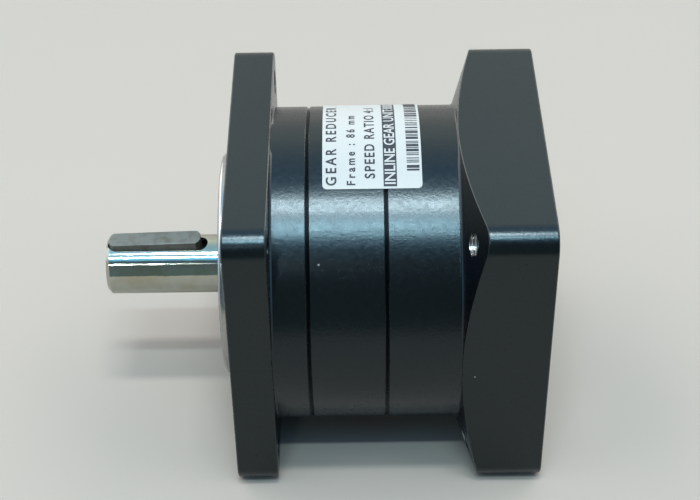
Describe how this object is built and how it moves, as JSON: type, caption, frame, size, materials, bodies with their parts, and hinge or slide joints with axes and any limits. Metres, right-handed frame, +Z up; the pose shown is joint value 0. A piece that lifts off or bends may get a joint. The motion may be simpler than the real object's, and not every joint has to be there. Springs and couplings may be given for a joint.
{
  "type": "inline gear reducer",
  "caption": "Inline planetary gear reducer with square output and motor flanges, a keyed output shaft and a clamp hub for the motor shaft.",
  "frame": {"origin": "on the shaft axis, midway between the output shaft's tip and the motor flange's face", "axes": "X along both shafts, output shaft towards -X and motor towards +X; +Z up, the flanges' undersides level"},
  "size_m": [0.117, 0.086, 0.086],
  "materials": {
    "body_paint": "semi-gloss black powder coat with a fine orange peel",
    "ground_steel": "ground, bright, fine turning marks round the shaft",
    "key_steel": "cold-drawn key steel, dull grey",
    "gear_steel": "hobbed and hardened gear steel with an oil film",
    "bearing_steel": "polished bearing steel",
    "black_steel": "blackened alloy steel fasteners and clamp",
    "spring_steel": "phosphated spring steel",
    "bronze": "bearing bronze",
    "rubber": "black nitrile rubber",
    "label_film": "white printed film, slightly glossy"
  },
  "bodies": {
    "housing": {"output_housing": "body_paint", "ring_gear": "body_paint", "input_flange": "body_paint", "front_o_ring": "rubber", "rear_o_ring": "rubber", "output_seal": "rubber", "name_label": "label_film", "access_plug": "rubber", "input_retaining_ring": "spring_steel", "front_bearing_outer": "bearing_steel", "rear_bearing_outer": "bearing_steel", "input_bearing_outer": "bearing_steel", "tie_screw_1": "black_steel", "tie_screw_2": "black_steel", "tie_screw_3": "black_steel", "tie_screw_4": "black_steel"},
    "output": {"output_shaft": "ground_steel", "shaft_key": "key_steel", "carrier_plate": "gear_steel", "front_bearing_inner": "bearing_steel", "rear_bearing_inner": "bearing_steel", "planet_pin_1": "ground_steel", "front_washer_1": "bronze", "rear_washer_1": "bronze", "carrier_screw_1": "black_steel", "planet_pin_2": "ground_steel", "front_washer_2": "bronze", "rear_washer_2": "bronze", "carrier_screw_2": "black_steel", "planet_pin_3": "ground_steel", "front_washer_3": "bronze", "rear_washer_3": "bronze", "carrier_screw_3": "black_steel"},
    "input": {"input_shaft": "gear_steel", "clamp_collar": "black_steel", "clamp_screw": "black_steel", "shaft_retaining_ring": "spring_steel", "input_bearing_inner": "bearing_steel"},
    "planet_1": {"planet_gear_1": "gear_steel", "planet_bush_1": "bronze"},
    "planet_2": {"planet_gear_2": "gear_steel", "planet_bush_2": "bronze"},
    "planet_3": {"planet_gear_3": "gear_steel", "planet_bush_3": "bronze"},
    "front_balls": {"front_bearing_cage": "bearing_steel"},
    "rear_balls": {"rear_bearing_cage": "bearing_steel"},
    "input_balls": {"input_bearing_cage": "bearing_steel"}
  },
  "joints": [
    {"name": "output_spin", "type": "hinge", "parent": "housing", "child": "output", "pos_m": [-0.0129, 0, 0], "axis": [1, 0, 0], "continuous": true},
    {"name": "input_spin", "type": "hinge", "parent": "housing", "child": "input", "pos_m": [0.0311, 0, 0], "axis": [1, 0, 0], "continuous": true},
    {"name": "planet_spin_1", "type": "hinge", "parent": "output", "child": "planet_1", "pos_m": [0.0069, 0, 0.021], "axis": [1, 0, 0], "continuous": true},
    {"name": "planet_spin_2", "type": "hinge", "parent": "output", "child": "planet_2", "pos_m": [0.0069, -0.01819, -0.0105], "axis": [1, 0, 0], "continuous": true},
    {"name": "planet_spin_3", "type": "hinge", "parent": "output", "child": "planet_3", "pos_m": [0.0069, 0.01819, -0.0105], "axis": [1, 0, 0], "continuous": true},
    {"name": "front_ball_roll", "type": "hinge", "parent": "housing", "child": "front_balls", "pos_m": [-0.0129, 0, 0], "axis": [1, 0, 0], "continuous": true},
    {"name": "rear_ball_roll", "type": "hinge", "parent": "housing", "child": "rear_balls", "pos_m": [0.0219, 0, 0], "axis": [1, 0, 0], "continuous": true},
    {"name": "input_ball_roll", "type": "hinge", "parent": "housing", "child": "input_balls", "pos_m": [0.0311, 0, 0], "axis": [1, 0, 0], "continuous": true}
  ],
  "couplings": [
    {"joint": "input_spin", "follows": "output_spin", "ratio": 4},
    {"joint": "planet_spin_1", "follows": "output_spin", "ratio": -3},
    {"joint": "planet_spin_2", "follows": "output_spin", "ratio": -3},
    {"joint": "planet_spin_3", "follows": "output_spin", "ratio": -3},
    {"joint": "front_ball_roll", "follows": "output_spin", "ratio": 0.3976},
    {"joint": "rear_ball_roll", "follows": "output_spin", "ratio": 0.4556},
    {"joint": "input_ball_roll", "follows": "output_spin", "ratio": 1.7935}
  ]
}
